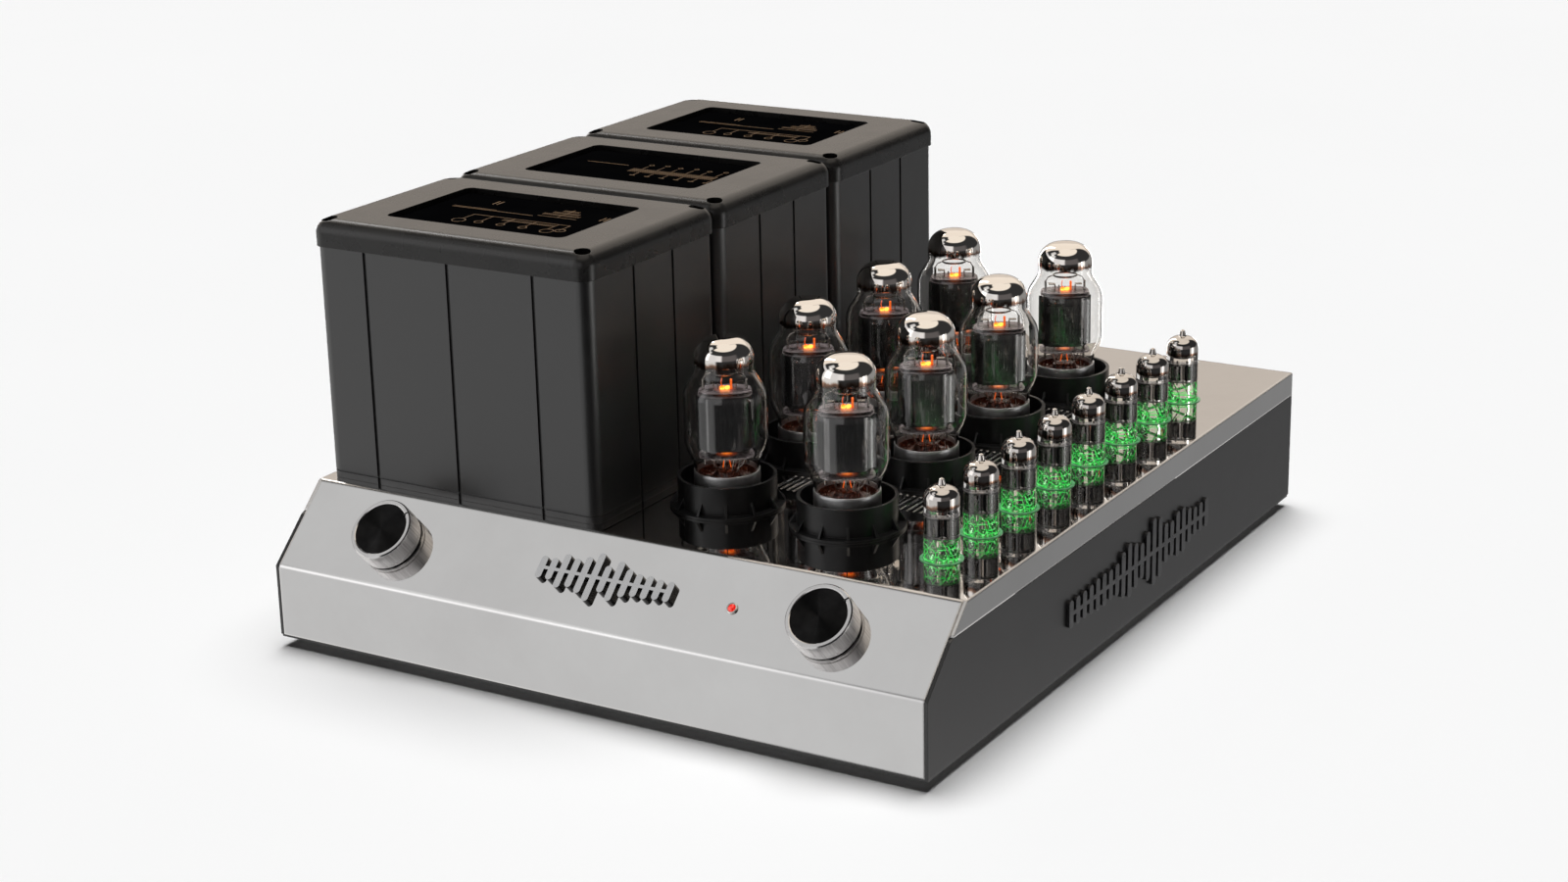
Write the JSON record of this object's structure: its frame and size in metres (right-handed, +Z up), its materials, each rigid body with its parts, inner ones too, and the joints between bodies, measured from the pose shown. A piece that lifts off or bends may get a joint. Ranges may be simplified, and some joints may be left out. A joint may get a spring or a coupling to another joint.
{
  "type": "tube amplifier",
  "caption": "Stereo tube power amplifier: polished low case with a sloped control face, canned transformers along one side and rows of glass tubes in collars.",
  "frame": {"origin": "middle of the whole object's footprint, on the surface under the feet", "axes": "+X to the right seen from the front, -Y towards the front with the knobs, +Z up"},
  "size_m": [0.4486, 0.5426, 0.2551],
  "materials": {
    "polished_steel": "mirror-polished stainless steel, a little brushed on the front",
    "case_black": "satin black enamel",
    "cover_grey": "fine-textured charcoal enamel",
    "cap_grey": "smooth satin charcoal enamel",
    "window_black": "gloss black panel with thin bronze line art",
    "core_iron": "varnished silicon-steel laminations",
    "winding_copper": "enamelled copper wire, taped",
    "collar_black": "moulded black plastic, light satin",
    "socket_phenolic": "dark brown moulded phenolic",
    "tube_glass": "clear glass",
    "tube_base": "nickel-plated base ring over phenolic",
    "signal_glass": "clear glass, lit green from below",
    "light_ring": "frosted clear acrylic, lit green",
    "board_green": "glass-fibre circuit board",
    "capacitor_sleeve": "black sleeved aluminium can",
    "knob_metal": "turned aluminium with a black spun insert",
    "switch_grey": "moulded switch body",
    "lamp": "red jewel in a chromed ring",
    "emblem": "gloss black ornament with a bright edge",
    "side_emblem": "dark metallic ornament",
    "terminal": "moulded cap over plated brass",
    "plated_metal": "nickel plate",
    "connector_black": "moulded black nylon",
    "foot_rubber": "matt black rubber",
    "screw_steel": "black zinc-plated screws"
  },
  "bodies": {
    "amplifier": {"bottom_plate": "case_black", "cap_windows": "window_black", "case_screws": "screw_steel", "chassis_shell": "polished_steel", "feet": "foot_rubber", "filter_capacitors": "capacitor_sleeve", "front_emblem": "emblem", "fuse_holder": "connector_black", "input_switch_body": "switch_grey", "light_rings": "light_ring", "mains_inlet": "connector_black", "power_led": "lamp", "power_sockets": "socket_phenolic", "rca_jacks": "plated_metal", "rear_panel": "case_black", "rotary_switches": "switch_grey", "side_emblems": "side_emblem", "side_panel_left": "case_black", "side_panel_right": "case_black", "signal_board": "board_green", "signal_sockets": "socket_phenolic", "speaker_terminals": "terminal", "supply_board": "board_green", "transformer_cap_1": "cap_grey", "transformer_cap_2": "cap_grey", "transformer_cap_3": "cap_grey", "transformer_cores": "core_iron", "transformer_cover_1": "cover_grey", "transformer_cover_2": "cover_grey", "transformer_cover_3": "cover_grey", "transformer_windings": "winding_copper", "tube_collars": "collar_black", "xlr_jacks": "connector_black"},
    "power_knob_body": {"power_knob": "knob_metal"},
    "tube_light_knob_body": {"tube_light_knob": "knob_metal"},
    "input_selector": {"input_switch_slider": "connector_black"},
    "power_tube_1": {"power_tube_1_base": "tube_base", "power_tube_1_glass": "tube_glass"},
    "power_tube_2": {"power_tube_2_base": "tube_base", "power_tube_2_glass": "tube_glass"},
    "power_tube_3": {"power_tube_3_base": "tube_base", "power_tube_3_glass": "tube_glass"},
    "power_tube_4": {"power_tube_4_base": "tube_base", "power_tube_4_glass": "tube_glass"},
    "power_tube_5": {"power_tube_5_base": "tube_base", "power_tube_5_glass": "tube_glass"},
    "power_tube_6": {"power_tube_6_base": "tube_base", "power_tube_6_glass": "tube_glass"},
    "power_tube_7": {"power_tube_7_base": "tube_base", "power_tube_7_glass": "tube_glass"},
    "power_tube_8": {"power_tube_8_base": "tube_base", "power_tube_8_glass": "tube_glass"},
    "signal_tube_1_body": {"signal_tube_1": "signal_glass"},
    "signal_tube_2_body": {"signal_tube_2": "signal_glass"},
    "signal_tube_3_body": {"signal_tube_3": "signal_glass"},
    "signal_tube_4_body": {"signal_tube_4": "signal_glass"},
    "signal_tube_5_body": {"signal_tube_5": "signal_glass"},
    "signal_tube_6_body": {"signal_tube_6": "signal_glass"},
    "signal_tube_7_body": {"signal_tube_7": "signal_glass"},
    "signal_tube_8_body": {"signal_tube_8": "signal_glass"}
  },
  "joints": [
    {"name": "power_knob_turn", "type": "hinge", "parent": "amplifier", "child": "power_knob_body", "pos_m": [0.1493, -0.24682, 0.0727], "axis": [0, -0.6848, 0.7288], "range_deg": [0, 60]},
    {"name": "tube_light_knob_turn", "type": "hinge", "parent": "amplifier", "child": "tube_light_knob_body", "pos_m": [-0.1493, -0.24682, 0.0727], "axis": [0, -0.6848, 0.7288], "range_deg": [0, 60]},
    {"name": "input_selector_slide", "type": "slide", "parent": "amplifier", "child": "input_selector", "axis": [1, 0, 0], "range_m": [0, 0.005]},
    {"name": "power_tube_1_pull", "type": "slide", "parent": "amplifier", "child": "power_tube_1", "axis": [0, 0, 1], "range_m": [0, 0.03]},
    {"name": "power_tube_2_pull", "type": "slide", "parent": "amplifier", "child": "power_tube_2", "axis": [0, 0, 1], "range_m": [0, 0.03]},
    {"name": "power_tube_3_pull", "type": "slide", "parent": "amplifier", "child": "power_tube_3", "axis": [0, 0, 1], "range_m": [0, 0.03]},
    {"name": "power_tube_4_pull", "type": "slide", "parent": "amplifier", "child": "power_tube_4", "axis": [0, 0, 1], "range_m": [0, 0.03]},
    {"name": "power_tube_5_pull", "type": "slide", "parent": "amplifier", "child": "power_tube_5", "axis": [0, 0, 1], "range_m": [0, 0.03]},
    {"name": "power_tube_6_pull", "type": "slide", "parent": "amplifier", "child": "power_tube_6", "axis": [0, 0, 1], "range_m": [0, 0.03]},
    {"name": "power_tube_7_pull", "type": "slide", "parent": "amplifier", "child": "power_tube_7", "axis": [0, 0, 1], "range_m": [0, 0.03]},
    {"name": "power_tube_8_pull", "type": "slide", "parent": "amplifier", "child": "power_tube_8", "axis": [0, 0, 1], "range_m": [0, 0.03]},
    {"name": "signal_tube_1_pull", "type": "slide", "parent": "amplifier", "child": "signal_tube_1_body", "axis": [0, 0, 1], "range_m": [0, 0.015]},
    {"name": "signal_tube_2_pull", "type": "slide", "parent": "amplifier", "child": "signal_tube_2_body", "axis": [0, 0, 1], "range_m": [0, 0.015]},
    {"name": "signal_tube_3_pull", "type": "slide", "parent": "amplifier", "child": "signal_tube_3_body", "axis": [0, 0, 1], "range_m": [0, 0.015]},
    {"name": "signal_tube_4_pull", "type": "slide", "parent": "amplifier", "child": "signal_tube_4_body", "axis": [0, 0, 1], "range_m": [0, 0.015]},
    {"name": "signal_tube_5_pull", "type": "slide", "parent": "amplifier", "child": "signal_tube_5_body", "axis": [0, 0, 1], "range_m": [0, 0.015]},
    {"name": "signal_tube_6_pull", "type": "slide", "parent": "amplifier", "child": "signal_tube_6_body", "axis": [0, 0, 1], "range_m": [0, 0.015]},
    {"name": "signal_tube_7_pull", "type": "slide", "parent": "amplifier", "child": "signal_tube_7_body", "axis": [0, 0, 1], "range_m": [0, 0.015]},
    {"name": "signal_tube_8_pull", "type": "slide", "parent": "amplifier", "child": "signal_tube_8_body", "axis": [0, 0, 1], "range_m": [0, 0.015]}
  ]
}
